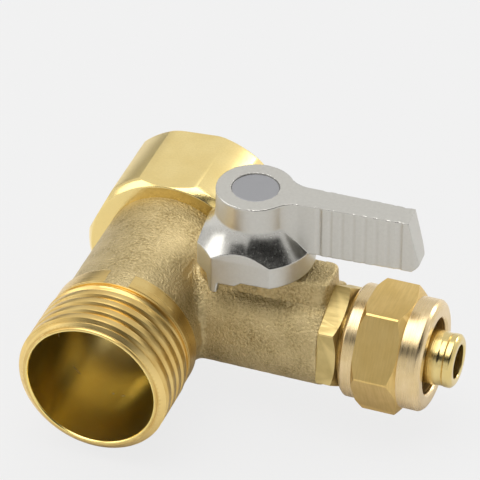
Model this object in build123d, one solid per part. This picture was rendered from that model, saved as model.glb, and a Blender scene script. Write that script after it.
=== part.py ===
from build123d import *
from math import radians, sqrt, tan
import os

# Brass tee adapter with a ball shut-off valve in its side branch.
# Frame: +Y along the straight run towards the female end, +X along the branch towards
# the tube nipple, +Z up the valve stem. The origin is where run and branch axes cross.
# All sizes are millimetres and all angles degrees.

# Straight run
run_bore_r = 8.45
run_bore_chamfer = 0.28
male_face_y = -22.2
male_thread_r = 10.4775
male_thread_end_y = -10.3
male_rim_r = 9.4
male_lead = 1.1
neck_relief_r = 9.95
neck_relief_length = 0.7
neck_band_r = 10.3
neck_band_end_y = -7.3
barrel_half_width = 9.7
barrel_half_height = 10.25

# Female end in the hexagonal block
hex_flats = 24.0
hex_turned_r = 12.75
hex_face_r = 11.9
hex_front_y = 7.5
hex_back_y = 21.0
hex_end_slope = 2.0
hex_end_round = 2.5
female_thread_r = 9.3155
female_lead_r = 10.6
female_lead = 1.2
gasket_seat_y = 9.2
thread_relief_r = 10.3
thread_relief_length = 2.0

# Side branch
branch_r = 7.1
branch_end_x = 26.0
junction_fillet = 1.8
branch_way_r = 3.1
chamber_r = 5.2
connector_thread_r = 5.85

# Stem pad, the straight-sided boss along the top of the branch
stem_x = 14.93
pad_start_x = 7.6
pad_top_z = 9.7
pad_half_width = 2.85
pad_draft = 8.5
pad_corner_r = 1.1
pad_start_r = 2.5
pad_edge_round = 0.45

# Ball and seats
ball_r = 5.0
ball_port_r = 3.0
ball_slot_width = 2.0
ball_slot_floor_z = 3.4
seat_back = 5.6
seat_depth = 2.45

# Stem
stem_r = 2.5
stem_flange_r = 3.05
stem_flange_length = 0.6
stem_tang_length = 5.2
stem_shoulder_z = 13.0
stem_flats = 3.6
stem_top_gap = 0.3
stem_hole_depth = 7.5
thrust_washer_length = 0.5
ring_section = 0.9
ring_groove_length = 1.05
ring_land = 0.45

# Handle
lever_turn = 3.0
stop_travel = 90.0
hub_top_z = 21.23
hub_r = 5.26
hub_edge_round = 0.35
recess_r = 3.19
web_top_z = 17.5
flare_top_z = 17.5
flare_hollow = 0.35
skirt_r = 8.1
skirt_flats = 14.0
skirt_draft = 6.0
skirt_top_z = 13.6
skirt_bottom_z = 10.4
skirt_hollow_r = 5.7
lever_reach = 23.8
lever_top_rake = 2.5
lever_root_thickness = 4.2
lever_tip_thickness = 3.5
lever_top_step = 0.15
lever_bottom_z = 13.75
lever_widest_z = 16.4
lever_bottom_rake = 1.5
lever_corner_r = 1.6
lever_top_round = 0.3
flute_pitch = 1.55
flute_first_reach = 9.3
flute_end_panel = 2.1
flute_r = 1.0
flute_depth = 0.14
tooth_drop = 2.25
tooth_width = 7.2
tooth_tip_width = 1.4
tooth_wall = 2.1
closed_tooth_angle = -120.0
open_tooth_angle = 42.0

# Screw, spring washer and cap in the top of the handle
screw_r = 1.5
screw_length = 6.0
screw_head_r = 2.65
screw_head_length = 1.5
screw_slot_width = 0.7
screw_slot_depth = 0.8
washer_length = 0.6
washer_split = 0.5
cap_sink = 0.3
cap_length = 0.7
cap_skirt_length = 0.9
cap_skirt_wall = 0.3

# End connector
flange_flats = 13.3
flange_length = 2.6
flange_turn = 24.7
flange_chamfer = 0.5
shank_neck_r = 5.0
shank_neck_length = 1.3
seal_section = 1.1
nose_thread_r = 6.2
nose_neck_r = 5.6
nose_neck_length = 0.9
nose_thread_end_x = 35.4
nose_cone_r = 4.6
nose_cone_length = 0.9
nipple_r = 3.68
nipple_bore_r = 2.34
nipple_bore_taper = 2.0
nipple_end_x = 43.7
nipple_groove_x = 41.8
nipple_groove_length = 0.8
nipple_groove_depth = 0.16
nipple_tip_round = 0.65

# Compression nut
nut_back_x = 29.2
nut_front_x = 40.4
nut_flats = 15.5
nut_turn = 57.9
nut_corner_r = 8.9
nut_hex_back_x = 31.25
nut_hex_front_x = 37.35
nut_hex_lead = 0.95
nut_back_collar_r = 7.75
nut_back_chamfer = 0.45
nut_front_collar_r = 7.6
nut_front_round = 1.25
nut_hole_r = 5.2
nut_hole_chamfer = 0.3
nut_shoulder_length = 1.6
nut_hole_length = 2.6

# Female port gasket
gasket_length = 1.75
gasket_bore_r = 6.0

# Clearances
running_clearance = 0.04
seat_clearance = 0.05
fit_clearance = 0.05
stop_clearance = 0.2

# Planes square to the three axes
across_x = Plane.YZ
across_y = Plane(origin=(0, 0, 0), x_dir=(1, 0, 0), z_dir=(0, 1, 0))
across_z = Plane.XY

# Places that follow from the sizes above
thread_relief_end_y = gasket_seat_y + thread_relief_length
chamber_floor_x = stem_x - seat_back
connector_inner_x = stem_x + seat_back
flange_end_x = branch_end_x + flange_length
seal_pocket_r = shank_neck_r + seal_section + fit_clearance
stem_flange_top_z = ball_r + running_clearance + stem_flange_length
thrust_washer_top_z = stem_flange_top_z + running_clearance + thrust_washer_length
stem_bore_r = stem_r + running_clearance
stem_top_z = web_top_z - stem_top_gap
ring_core_r = stem_bore_r - running_clearance / 2 - ring_section
washer_top_z = web_top_z + washer_length
lever_top_z = hub_top_z - lever_top_step
flute_count = round((lever_reach - flute_end_panel - flute_first_reach) / flute_pitch) + 1
nut_thread_r = nose_thread_r + running_clearance
stem_axis = Pos(stem_x, 0, 0)
handle_place = stem_axis * Rot(0, 0, lever_turn)


def bar(plane, start, end, section):
    """A straight bar of one section between two places along a plane's normal."""
    return extrude(plane.offset(start) * section, end - start)


def hexagon(flats, turn=0.0):
    return RegularPolygon(flats / 2, 6, major_radius=False, rotation=turn)


def outline(corners, rounds=()):
    """A closed flat face, with some of its corners rounded."""
    face = make_face(Polyline(*corners, close=True))
    for corner, radius in rounds:
        vertex = face.vertices().sort_by_distance(corner)[0]
        face = fillet(vertex, radius)
    return face


def swap(corners):
    return [(radius, place) for place, radius in corners]


def turned_on_x(corners, rounds=()):
    """A solid turned about the X axis from (x, radius) corners."""
    return revolve(outline(corners, rounds), Axis.X)


def turned_on_y(corners, rounds=()):
    """A solid turned about the Y axis from (y, radius) corners."""
    flipped = [(swap([corner])[0], radius) for corner, radius in rounds]
    return revolve(outline(swap(corners), flipped), Axis.Y)


def turned_on_z(corners, rounds=()):
    """A solid turned about the Z axis from (z, radius) corners."""
    flipped = [(swap([corner])[0], radius) for corner, radius in rounds]
    return revolve(Plane.XZ * outline(swap(corners), flipped), Axis.Z)


def cord_ring(plane, place, core_r, section):
    """A round cord ring whose inner radius is core_r."""
    return plane.offset(place) * Torus(core_r + section / 2, section / 2)


def pad_section(margin=0.0):
    """Section of the stem pad in the YZ plane, widened by a margin."""
    half_root = pad_half_width + pad_top_z * tan(radians(pad_draft)) + margin
    half_top = pad_half_width + margin
    corners = [(-half_root, 0), (-half_top, pad_top_z), (half_top, pad_top_z), (half_root, 0)]
    return make_face(Polyline(*corners, close=True))


def make_male_end():
    """Turned male end: lead, thread at its crest size, relief and neck band."""
    relief_start_y = male_thread_end_y - (male_thread_r - neck_relief_r)
    relief_end_y = male_thread_end_y + neck_relief_length
    return turned_on_y(
        [
            (male_face_y, 0),
            (male_face_y, male_rim_r),
            (male_face_y + male_lead, male_thread_r),
            (relief_start_y, male_thread_r),
            (male_thread_end_y, neck_relief_r),
            (relief_end_y, neck_relief_r),
            (relief_end_y, neck_band_r),
            (neck_band_end_y, neck_band_r),
            (neck_band_end_y, 0),
        ]
    )


def make_hex_block():
    """Hexagonal block with its corners turned down and both ends rounded over."""
    front_corner = (hex_front_y + hex_end_slope, hex_turned_r)
    back_corner = (hex_back_y - hex_end_slope, hex_turned_r)
    envelope = turned_on_y(
        [
            (hex_front_y, 0),
            (hex_front_y, hex_face_r),
            front_corner,
            back_corner,
            (hex_back_y, hex_face_r),
            (hex_back_y, 0),
        ],
        [(front_corner, hex_end_round), (back_corner, hex_end_round)],
    )
    return bar(across_y, hex_front_y, hex_back_y, hexagon(hex_flats)) & envelope


def make_stem_pad():
    """Straight-sided pad that carries the stem, rounded at both its ends."""
    pad = bar(across_x, pad_start_x, branch_end_x, pad_section())
    for end, radius in ((0, pad_start_r), (-1, pad_corner_r)):
        end_edges = pad.faces().filter_by(Axis.X).sort_by(Axis.X)[end].edges()
        pad = fillet(end_edges.filter_by(lambda edge: abs(edge.tangent_at(0.5).Z) > 0.5), radius)
    return fillet(pad.faces().sort_by(Axis.Z)[-1].edges(), pad_edge_round)


def make_cast_skin():
    """Cast barrel and branch, blended where they meet."""
    barrel_section = Ellipse(barrel_half_width, barrel_half_height)
    barrel = bar(across_y, neck_band_end_y, hex_front_y, barrel_section)
    arm = bar(across_x, 0, branch_end_x, Circle(branch_r))
    skin = barrel + arm
    seam = new_edges(barrel, arm, combined=skin)
    return fillet(seam, junction_fillet) + make_stem_pad()


def make_valve_body():
    outside = make_cast_skin() + make_male_end() + make_hex_block()
    run_bore = turned_on_y(
        [
            (male_face_y, 0),
            (male_face_y, run_bore_r + run_bore_chamfer),
            (male_face_y + run_bore_chamfer, run_bore_r),
            (gasket_seat_y, run_bore_r),
            (gasket_seat_y, thread_relief_r),
            (thread_relief_end_y, thread_relief_r),
            (thread_relief_end_y, female_thread_r),
            (hex_back_y - female_lead, female_thread_r),
            (hex_back_y, female_lead_r),
            (hex_back_y, 0),
        ]
    )
    branch_bore = turned_on_x(
        [
            (0, 0),
            (0, branch_way_r),
            (chamber_floor_x, branch_way_r),
            (chamber_floor_x, chamber_r),
            (connector_inner_x, chamber_r),
            (connector_inner_x, connector_thread_r),
            (branch_end_x - shank_neck_length, connector_thread_r),
            (branch_end_x - shank_neck_length, seal_pocket_r),
            (branch_end_x, seal_pocket_r),
            (branch_end_x, 0),
        ]
    )
    stem_bore = turned_on_z(
        [
            (0, 0),
            (0, stem_flange_r + 2 * fit_clearance),
            (thrust_washer_top_z, stem_flange_r + 2 * fit_clearance),
            (thrust_washer_top_z, stem_bore_r),
            (pad_top_z, stem_bore_r),
            (pad_top_z, 0),
        ]
    )
    return outside - run_bore - branch_bore - stem_axis * stem_bore


def make_ball():
    """Ball with its port along the branch and its stem slot across the top."""
    ball = Sphere(ball_r) - bar(across_x, -ball_r, ball_r, Circle(ball_port_r))
    slot = Box(ball_slot_width, 2 * ball_r, ball_r, align=(Align.CENTER, Align.CENTER, Align.MIN))
    return handle_place * (ball - Pos(0, 0, ball_slot_floor_z) * slot)


def make_seat():
    """Seat ring on the run side of the ball, hollowed to the ball's own curve."""
    seat = bar(across_x, chamber_floor_x, chamber_floor_x + seat_depth, Circle(chamber_r - fit_clearance))
    way = bar(across_x, chamber_floor_x, stem_x, Circle(branch_way_r))
    return seat - way - stem_axis * Sphere(ball_r + seat_clearance)


def make_stem():
    """Stem with its tang, flange, two ring grooves and the flats that drive the handle."""
    corners = [(ball_r + running_clearance, 0), (ball_r + running_clearance, stem_flange_r)]
    corners += [(stem_flange_top_z, stem_flange_r), (stem_flange_top_z, stem_r)]
    for start in ring_groove_starts():
        end = start + ring_groove_length
        corners += [(start, stem_r), (start, ring_core_r), (end, ring_core_r), (end, stem_r)]
    corners += [(stem_top_z, stem_r), (stem_top_z, 0)]
    tang_width = ball_slot_width - 2 * fit_clearance
    tang_floor_z = ball_slot_floor_z + fit_clearance
    tang = bar(across_z, tang_floor_z, stem_flange_top_z, Rectangle(tang_width, stem_tang_length))
    outside_flats = Rectangle(2 * stem_r, 2 * stem_r) - Rectangle(2 * stem_r, stem_flats)
    flats = bar(across_z, stem_shoulder_z, stem_top_z, outside_flats)
    hole = bar(across_z, stem_top_z - stem_hole_depth, stem_top_z, Circle(screw_r + fit_clearance))
    return handle_place * (turned_on_z(corners) + tang - flats - hole)


def ring_groove_starts():
    first = thrust_washer_top_z + ring_land
    return [first, first + ring_groove_length + ring_land]


def make_stem_ring(groove_start):
    centre_z = groove_start + ring_groove_length / 2
    return stem_axis * cord_ring(across_z, centre_z, ring_core_r, ring_section)


def make_thrust_washer():
    outer_r = stem_flange_r + fit_clearance
    section = Circle(outer_r) - Circle(stem_bore_r)
    start = thrust_washer_top_z - thrust_washer_length
    return stem_axis * bar(across_z, start, thrust_washer_top_z, section)


def skirt_flat_sides(inset=0.0):
    """Plan with the skirt's flats on the three sides away from the lever, open towards it."""
    width = skirt_flats - 2 * inset
    lever_side = Rectangle(2 * skirt_r, width, align=(Align.MIN, Align.CENTER))
    return hexagon(width) + lever_side


def skirt_section(inset=0.0):
    """Plan of the handle's skirt: flats on three sides away from the lever, round beneath it."""
    return Circle(skirt_r - inset) & skirt_flat_sides(inset)


def make_hub():
    """Hub that flares down to the skirt, trimmed to the skirt's flats."""
    start, end = (flare_top_z, hub_r), (skirt_top_z, skirt_r)
    run, rise = end[1] - start[1], start[0] - end[0]
    slope = sqrt(run**2 + rise**2)
    middle_r = (start[1] + end[1]) / 2 - flare_hollow * rise / slope
    middle_z = (start[0] + end[0]) / 2 - flare_hollow * run / slope
    flare = ThreePointArc((end[1], end[0]), (middle_r, middle_z), (start[1], start[0]))
    edges = [
        Line((0, skirt_bottom_z), (skirt_r, skirt_bottom_z)),
        Line((skirt_r, skirt_bottom_z), (skirt_r, skirt_top_z)),
        flare,
        Line((hub_r, flare_top_z), (hub_r, hub_top_z)),
        Line((hub_r, hub_top_z), (0, hub_top_z)),
        Line((0, hub_top_z), (0, skirt_bottom_z)),
    ]
    section = make_face(Wire(edges))
    rim = section.vertices().sort_by_distance((hub_r, hub_top_z))[0]
    hub = revolve(Plane.XZ * fillet(rim, hub_edge_round), Axis.Z)
    wall = bar(across_z, skirt_bottom_z, skirt_top_z, skirt_flat_sides())
    upper = extrude(across_z.offset(skirt_top_z) * skirt_flat_sides(), hub_top_z - skirt_top_z, taper=skirt_draft)
    return hub & (wall + upper)


def make_blade():
    """Lever blade: a tapered plate with a raked end and finger flutes on both faces."""
    top_tip = (lever_reach - lever_top_rake, lever_top_z)
    wide_tip = (lever_reach, lever_widest_z)
    low_tip = (lever_reach - lever_bottom_rake, lever_bottom_z)
    side = outline(
        [(recess_r, lever_top_z), top_tip, wide_tip, low_tip, (recess_r, lever_bottom_z)],
        [(wide_tip, lever_corner_r), (low_tip, lever_corner_r)],
    )
    root, tip = lever_root_thickness / 2, lever_tip_thickness / 2
    plan = make_face(Polyline((hub_r, root), (lever_reach, tip), (lever_reach, -tip), (hub_r, -root), close=True))
    plan += Pos(hub_r, 0) * Rectangle(hub_r - recess_r, lever_root_thickness, align=(Align.MAX, Align.CENTER))
    blade = bar(across_z, lever_bottom_z, lever_top_z, plan)
    blade &= extrude(Plane.XZ * side, lever_root_thickness, both=True)
    top_edges = blade.faces().sort_by(Axis.Z)[-1].edges()
    blade = fillet(top_edges.filter_by(lambda edge: abs(edge.center().Y) > tip / 2), lever_top_round)
    flute = Circle(flute_r)
    for number in range(flute_count):
        reach = flute_first_reach + number * flute_pitch
        along = (reach - hub_r) / (lever_reach - hub_r)
        face_y = root + (tip - root) * along
        for side_of_blade in (1, -1):
            centre = Pos(reach, side_of_blade * (face_y + flute_r - flute_depth))
            blade -= bar(across_z, lever_bottom_z, lever_top_z, centre * flute)
    return blade


def make_tooth(angle):
    """One stop tooth below the skirt, hanging from a ring inside the skirt's own outline."""
    tip_z = skirt_bottom_z - tooth_drop
    half, half_tip = tooth_width / 2, tooth_tip_width / 2
    tongue = outline(
        [(-half, skirt_bottom_z), (-half_tip, tip_z), (half_tip, tip_z), (half, skirt_bottom_z)],
        [((-half_tip, tip_z), half_tip), ((half_tip, tip_z), half_tip)],
    )
    facing = Plane(origin=(0, 0, 0), x_dir=(0, 1, 0), z_dir=(1, 0, 0))
    prism = extrude(facing * tongue, skirt_r)
    wall = skirt_section() - skirt_section(tooth_wall)
    hanging_ring = bar(across_z, tip_z, skirt_bottom_z, wall)
    return hanging_ring & (Rot(0, 0, angle) * prism)


def make_teeth():
    """The two stop teeth, their flanks cut to the sides of the stem pad."""
    pad_room = bar(across_x, -2 * skirt_r, 2 * skirt_r, pad_section(stop_clearance))
    closed_room = Rot(0, 0, -stop_travel) * pad_room
    closed_tooth = make_tooth(closed_tooth_angle)
    open_tooth = make_tooth(open_tooth_angle)
    return (closed_tooth + open_tooth) - pad_room - closed_room


def make_handle():
    handle = make_hub() + make_blade() + make_teeth()
    handle -= bar(across_z, skirt_bottom_z, stem_shoulder_z, Circle(skirt_hollow_r))
    handle -= bar(across_z, web_top_z, hub_top_z, Circle(recess_r))
    socket = Circle(stem_r + fit_clearance) & Rectangle(3 * stem_r, stem_flats + 2 * fit_clearance)
    handle -= bar(across_z, stem_shoulder_z, web_top_z, socket)
    return handle_place * handle


def make_screw():
    """Slotted screw that holds the handle on the stem."""
    head_top_z = washer_top_z + screw_head_length
    rim = (head_top_z, screw_head_r)
    screw = turned_on_z(
        [
            (washer_top_z - screw_length, 0),
            (washer_top_z - screw_length, screw_r),
            (washer_top_z, screw_r),
            (washer_top_z, screw_head_r),
            rim,
            (head_top_z, 0),
        ],
        [(rim, screw_head_length / 2)],
    )
    slot = Rectangle(screw_slot_width, 2 * screw_head_r)
    slot_bar = bar(across_z, head_top_z - screw_slot_depth, head_top_z, slot)
    return handle_place * (screw - slot_bar)


def make_spring_washer():
    """Split spring washer, closed flat under the screw head."""
    section = Circle(screw_head_r) - Circle(screw_r + fit_clearance)
    section -= Rot(0, 0, 45) * Rectangle(screw_head_r, washer_split, align=(Align.MIN, Align.CENTER))
    return handle_place * bar(across_z, web_top_z, washer_top_z, section)


def make_cap():
    """Pressed cap that closes the screw recess."""
    top_z = hub_top_z - cap_sink
    under_z = top_z - cap_length
    outer_r = recess_r - fit_clearance / 2
    disc = bar(across_z, under_z, top_z, Circle(outer_r))
    skirt = bar(across_z, under_z - cap_skirt_length, under_z, Circle(outer_r) - Circle(outer_r - cap_skirt_wall))
    return handle_place * (disc + skirt)


def make_connector():
    """End connector: shank into the branch, hexagonal flange, nut thread and tube nipple."""
    shank_r = connector_thread_r - fit_clearance
    neck_start_x = branch_end_x - shank_neck_length
    cone_end_x = nose_thread_end_x + nose_cone_length
    groove_end_x = nipple_groove_x + nipple_groove_length
    tip = (nipple_end_x, nipple_r)
    turned = turned_on_x(
        [
            (connector_inner_x, 0),
            (connector_inner_x, shank_r),
            (neck_start_x, shank_r),
            (neck_start_x, shank_neck_r),
            (branch_end_x, shank_neck_r),
            (flange_end_x, nose_neck_r),
            (flange_end_x + nose_neck_length, nose_neck_r),
            (flange_end_x + nose_neck_length, nose_thread_r),
            (nose_thread_end_x, nose_thread_r),
            (cone_end_x, nose_cone_r),
            (cone_end_x, nipple_r),
            (nipple_groove_x, nipple_r),
            (nipple_groove_x, nipple_r - nipple_groove_depth),
            (groove_end_x, nipple_r - nipple_groove_depth),
            (groove_end_x, nipple_r),
            tip,
            (nipple_end_x, 0),
        ],
        [(tip, nipple_tip_round)],
    )
    corner_r = flange_flats / sqrt(3)
    flange = bar(across_x, branch_end_x, flange_end_x, hexagon(flange_flats, flange_turn))
    flange &= turned_on_x(
        [
            (branch_end_x, 0),
            (branch_end_x, corner_r),
            (flange_end_x - flange_chamfer, corner_r),
            (flange_end_x, corner_r - 2 * flange_chamfer),
            (flange_end_x, 0),
        ]
    )
    way = turned_on_x(
        [
            (connector_inner_x, 0),
            (connector_inner_x, branch_way_r),
            (branch_end_x, branch_way_r),
            (branch_end_x + nipple_bore_taper, nipple_bore_r),
            (nipple_end_x, nipple_bore_r),
            (nipple_end_x, 0),
        ]
    )
    return turned + flange - way


def make_compression_nut():
    """Union nut: two turned collars with a chamfered hexagon between them."""
    rim = (nut_front_x, nut_front_collar_r)
    collars = turned_on_x(
        [
            (nut_back_x, 0),
            (nut_back_x, nut_back_collar_r - nut_back_chamfer),
            (nut_back_x + nut_back_chamfer, nut_back_collar_r),
            (nut_hex_back_x, nut_back_collar_r),
            (nut_hex_front_x, nut_front_collar_r),
            rim,
            (nut_front_x, 0),
        ],
        [(rim, nut_front_round)],
    )
    hex_part = bar(across_x, nut_hex_back_x, nut_hex_front_x, hexagon(nut_flats, nut_turn))
    hex_part &= turned_on_x(
        [
            (nut_hex_back_x, 0),
            (nut_hex_back_x, nut_back_collar_r),
            (nut_hex_back_x + nut_hex_lead, nut_corner_r),
            (nut_hex_front_x - nut_hex_lead, nut_corner_r),
            (nut_hex_front_x, nut_front_collar_r),
            (nut_hex_front_x, 0),
        ]
    )
    shoulder_end_x = nut_front_x - nut_hole_length
    inside = turned_on_x(
        [
            (nut_back_x, 0),
            (nut_back_x, nut_thread_r),
            (shoulder_end_x - nut_shoulder_length, nut_thread_r),
            (shoulder_end_x, nut_hole_r),
            (nut_front_x - nut_hole_chamfer, nut_hole_r),
            (nut_front_x, nut_hole_r + nut_hole_chamfer),
            (nut_front_x, 0),
        ]
    )
    return collars + hex_part - inside


def make_gasket():
    section = Circle(female_thread_r - fit_clearance) - Circle(gasket_bore_r)
    return bar(across_y, gasket_seat_y, gasket_seat_y + gasket_length, section)


inner_seat = make_seat()
ring_starts = ring_groove_starts()
seal_centre_x = branch_end_x - shank_neck_length / 2
nodes = {
    "valve_body": make_valve_body(),
    "inner_seat": inner_seat,
    "outer_seat": mirror(inner_seat, Plane.YZ.offset(stem_x)),
    "ball": make_ball(),
    "stem": make_stem(),
    "stem_thrust_washer": make_thrust_washer(),
    "lower_stem_o_ring": make_stem_ring(ring_starts[0]),
    "upper_stem_o_ring": make_stem_ring(ring_starts[1]),
    "handle": make_handle(),
    "handle_screw": make_screw(),
    "screw_spring_washer": make_spring_washer(),
    "handle_cap": make_cap(),
    "end_connector": make_connector(),
    "connector_o_ring": cord_ring(across_x, seal_centre_x, shank_neck_r, seal_section),
    "compression_nut": make_compression_nut(),
    "female_port_gasket": make_gasket(),
}

os.makedirs("parts", exist_ok=True)
for name, piece in nodes.items():
    export_step(piece, f"parts/{name}.step")
    print(name, "volume", round(piece.volume, 2))
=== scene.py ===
# %% [markdown]
# # A brass ball valve, dressed in Blender
# The solids of the valve come packed, in metres, with their bodies and joints. This lesson keeps
# that frame as it is and makes what a maker sees on the real thing: cut threads, a blasted
# forging, turned collars and a plated lever. Every new piece rides on the body that carries it.

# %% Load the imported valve
from math import atan2, cos, degrees, hypot, pi, radians, sin, tan

import bmesh
import bpy
from mathutils import Matrix, Vector, noise


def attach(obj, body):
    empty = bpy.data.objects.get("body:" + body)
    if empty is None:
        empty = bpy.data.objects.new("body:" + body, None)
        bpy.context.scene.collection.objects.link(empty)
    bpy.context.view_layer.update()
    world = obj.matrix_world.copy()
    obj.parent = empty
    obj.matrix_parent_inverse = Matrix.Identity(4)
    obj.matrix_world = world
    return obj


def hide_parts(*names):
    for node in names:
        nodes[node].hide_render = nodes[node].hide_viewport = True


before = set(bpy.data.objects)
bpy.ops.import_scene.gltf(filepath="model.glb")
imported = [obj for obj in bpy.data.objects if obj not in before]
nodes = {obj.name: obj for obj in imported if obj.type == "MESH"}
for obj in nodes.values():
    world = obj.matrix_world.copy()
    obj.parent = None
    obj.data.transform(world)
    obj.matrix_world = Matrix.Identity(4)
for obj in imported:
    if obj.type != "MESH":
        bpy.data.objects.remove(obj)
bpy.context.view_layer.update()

# %% [markdown]
# ## Units and places
# All sizes below are millimetres, as a turner reads them, and become metres when a piece is shown.
# The run lies along Y, the branch along X, and the stem stands along Z at its own place.

# %% Sizes shared by several pieces
MM = 0.001
AXIS_X, AXIS_Y, AXIS_Z = Vector((1, 0, 0)), Vector((0, 1, 0)), Vector((0, 0, 1))
STEM = Vector((14.93, 0, 0))
LEVER_TURN = radians(3)
BORE_R = 8.45
FLOOR_Z = -12.0
scene = bpy.context.scene

# %% [markdown]
# ## Camera
# The view was found by fitting circles of known size, the thread's mouth, the hub and the nut, to
# their outlines. A long lens far away keeps the lines nearly parallel, as in a catalogue picture.

# %% Camera at the fitted place
AZIMUTH, ELEVATION, ROLL = radians(20.319), radians(36.396), radians(0.123)
CAMERA_AT = Vector((171.318, -428.205, 348.649))
FOCAL_PIXELS, FRAME_PIXELS, SENSOR = 4273.56, 480, 36.0

back = Vector((sin(AZIMUTH) * cos(ELEVATION), -cos(AZIMUTH) * cos(ELEVATION), sin(ELEVATION)))
level = Vector((cos(AZIMUTH), sin(AZIMUTH), 0))
lift = back.cross(level)
right = cos(ROLL) * level + sin(ROLL) * lift
up = cos(ROLL) * lift - sin(ROLL) * level
turn = Matrix((right, up, back)).transposed().to_4x4()
lens = bpy.data.cameras.new("catalogue_view")
lens.sensor_width = SENSOR
lens.lens = SENSOR * FOCAL_PIXELS / FRAME_PIXELS
lens.clip_start, lens.clip_end = 0.01, 20
camera = bpy.data.objects.new("catalogue_view", lens)
camera.matrix_world = Matrix.Translation(CAMERA_AT * MM) @ turn
scene.collection.objects.link(camera)
scene.camera = camera
print("camera", round(CAMERA_AT.length), "mm away, lens", round(lens.lens, 1), "mm")

# %% [markdown]
# ## Helpers for turned and cut metal
# A lathe part is a closed outline spun round its axis. Its corners are rounded first, while it is
# still flat, because a tiny round on a corner is what makes a bright line on real metal.


# %% Turn a closed outline round an axis
def beside(axis):
    """The direction in which an outline's radius is measured."""
    return AXIS_X if axis == AXIS_Z else AXIS_Z


def turned(axis, corners, steps=192):
    """Spin (along, radius, round) corners into a closed solid."""
    shape = bmesh.new()
    ring = [shape.verts.new(axis * c[0] + beside(axis) * c[1]) for c in corners]
    face = shape.faces.new(ring)
    rounds = [(vert, c[2]) for vert, c in zip(ring, corners) if len(c) > 2]
    for vert, size in rounds:
        bmesh.ops.bevel(shape, geom=[vert], offset=size, offset_type="OFFSET", segments=4,
                        profile=0.5, affect="VERTICES", material=-1, clamp_overlap=True)
    bmesh.ops.delete(shape, geom=shape.faces[:], context="FACES_ONLY")
    bmesh.ops.spin(shape, geom=shape.verts[:] + shape.edges[:], cent=(0, 0, 0), axis=axis,
                   angle=2 * pi, steps=steps, use_merge=True)
    bmesh.ops.remove_doubles(shape, verts=shape.verts, dist=1e-4)
    bmesh.ops.recalc_face_normals(shape, faces=shape.faces)
    return shape


# %% [markdown]
# A cast part is made of plates: an outline at one height joined to one at another height, which
# may be smaller where the sides have draft.


# %% A solid between two outlines
def plate(low_z, low, high_z, high=None):
    """Join two outlines of (x, y) with as many corners; upright sides without a second one."""
    shape = bmesh.new()
    levels = ((low_z, low), (high_z, high or low))
    rings = [[shape.verts.new((x, y, z)) for x, y in ring] for z, ring in levels]
    shape.faces.new(rings[0])
    shape.faces.new(rings[1])
    for k in range(len(low)):
        after = (k + 1) % len(low)
        shape.faces.new((rings[0][k], rings[0][after], rings[1][after], rings[1][k]))
    bmesh.ops.recalc_face_normals(shape, faces=shape.faces)
    return shape


def lying(shape):
    """Turn a plate drawn in X and height so that its height becomes Z."""
    upright = Matrix.Rotation(pi / 2, 3, "X")
    bmesh.ops.rotate(shape, cent=(0, 0, 0), matrix=upright, verts=shape.verts)
    return shape


ARC_STEPS = 6


def rounded(corners):
    """Points of an outline; a corner (x, y, r) is replaced by an arc of radius about r."""
    points = []
    for k, corner in enumerate(corners):
        here = Vector(corner[:2])
        if len(corner) < 3:
            points.append(here)
            continue
        before = (Vector(corners[k - 1][:2]) - here).normalized()
        after = (Vector(corners[(k + 1) % len(corners)][:2]) - here).normalized()
        half = before.angle(after) / 2
        start, end = here + before * corner[2] / tan(half), here + after * corner[2] / tan(half)
        middle = here + (before + after).normalized() * corner[2] / sin(half)
        first = start - middle
        swing = first.angle_signed(end - middle)
        for step in range(ARC_STEPS + 1):
            angle = -swing * step / ARC_STEPS
            points.append(middle + Vector((first.x * cos(angle) - first.y * sin(angle),
                                           first.x * sin(angle) + first.y * cos(angle))))
    return [(v.x, v.y) for v in points]


# %% [markdown]
# A hexagon is six points pushed into a bar. Its long edges get a small round of their own.


# %% A hexagonal bar
def hexagon_bar(axis, start, end, flats, turn_angle=0.0, edge_round=0.12, steps=3):
    """A bar along axis with that width across flats."""
    shape = bmesh.new()
    corner = flats / 3 ** 0.5
    side = beside(axis).cross(axis)
    ring = []
    for k in range(6):
        angle = turn_angle + k * pi / 3
        out = side * cos(angle) + beside(axis) * sin(angle)
        ring.append(shape.verts.new(axis * start + out * corner))
    face = shape.faces.new(ring)
    length = end - start
    pushed = bmesh.ops.extrude_face_region(shape, geom=[face])["geom"]
    far_verts = [g for g in pushed if isinstance(g, bmesh.types.BMVert)]
    bmesh.ops.translate(shape, vec=axis * length, verts=far_verts)
    long_edges = [e for e in shape.edges
                  if abs((e.verts[1].co - e.verts[0].co).dot(axis)) > 0.5 * length]
    bmesh.ops.bevel(shape, geom=long_edges, offset=edge_round, segments=steps, profile=0.5,
                    affect="EDGES", material=-1)
    bmesh.ops.recalc_face_normals(shape, faces=shape.faces)
    return shape


# %% [markdown]
# Cutting one solid with another is Blender's Boolean. It works on objects, so both shapes become
# objects for a moment. The exact solver keeps clean edges where a thread runs out.


# %% Join, cut and shape with modifiers
def as_object(shape, name="work"):
    mesh = bpy.data.meshes.new(name)
    shape.to_mesh(mesh)
    shape.free()
    thing = bpy.data.objects.new(name, mesh)
    scene.collection.objects.link(thing)
    return thing


def discard(thing):
    mesh = thing.data
    bpy.data.objects.remove(thing)
    bpy.data.meshes.remove(mesh)


def settled(thing):
    """The shape of an object with its modifiers done, as a bmesh; the object goes."""
    bpy.context.view_layer.update()
    shape = bmesh.new()
    shape.from_object(thing, bpy.context.evaluated_depsgraph_get())
    discard(thing)
    return shape


def cut(shape, tool, operation="DIFFERENCE"):
    """Boolean of two closed shapes; both are used up."""
    base, knife = as_object(shape), as_object(tool, "knife")
    step = base.modifiers.new("cut", "BOOLEAN")
    step.operation, step.solver, step.object = operation, "EXACT", knife
    result = settled(base)
    discard(knife)
    return result


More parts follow.
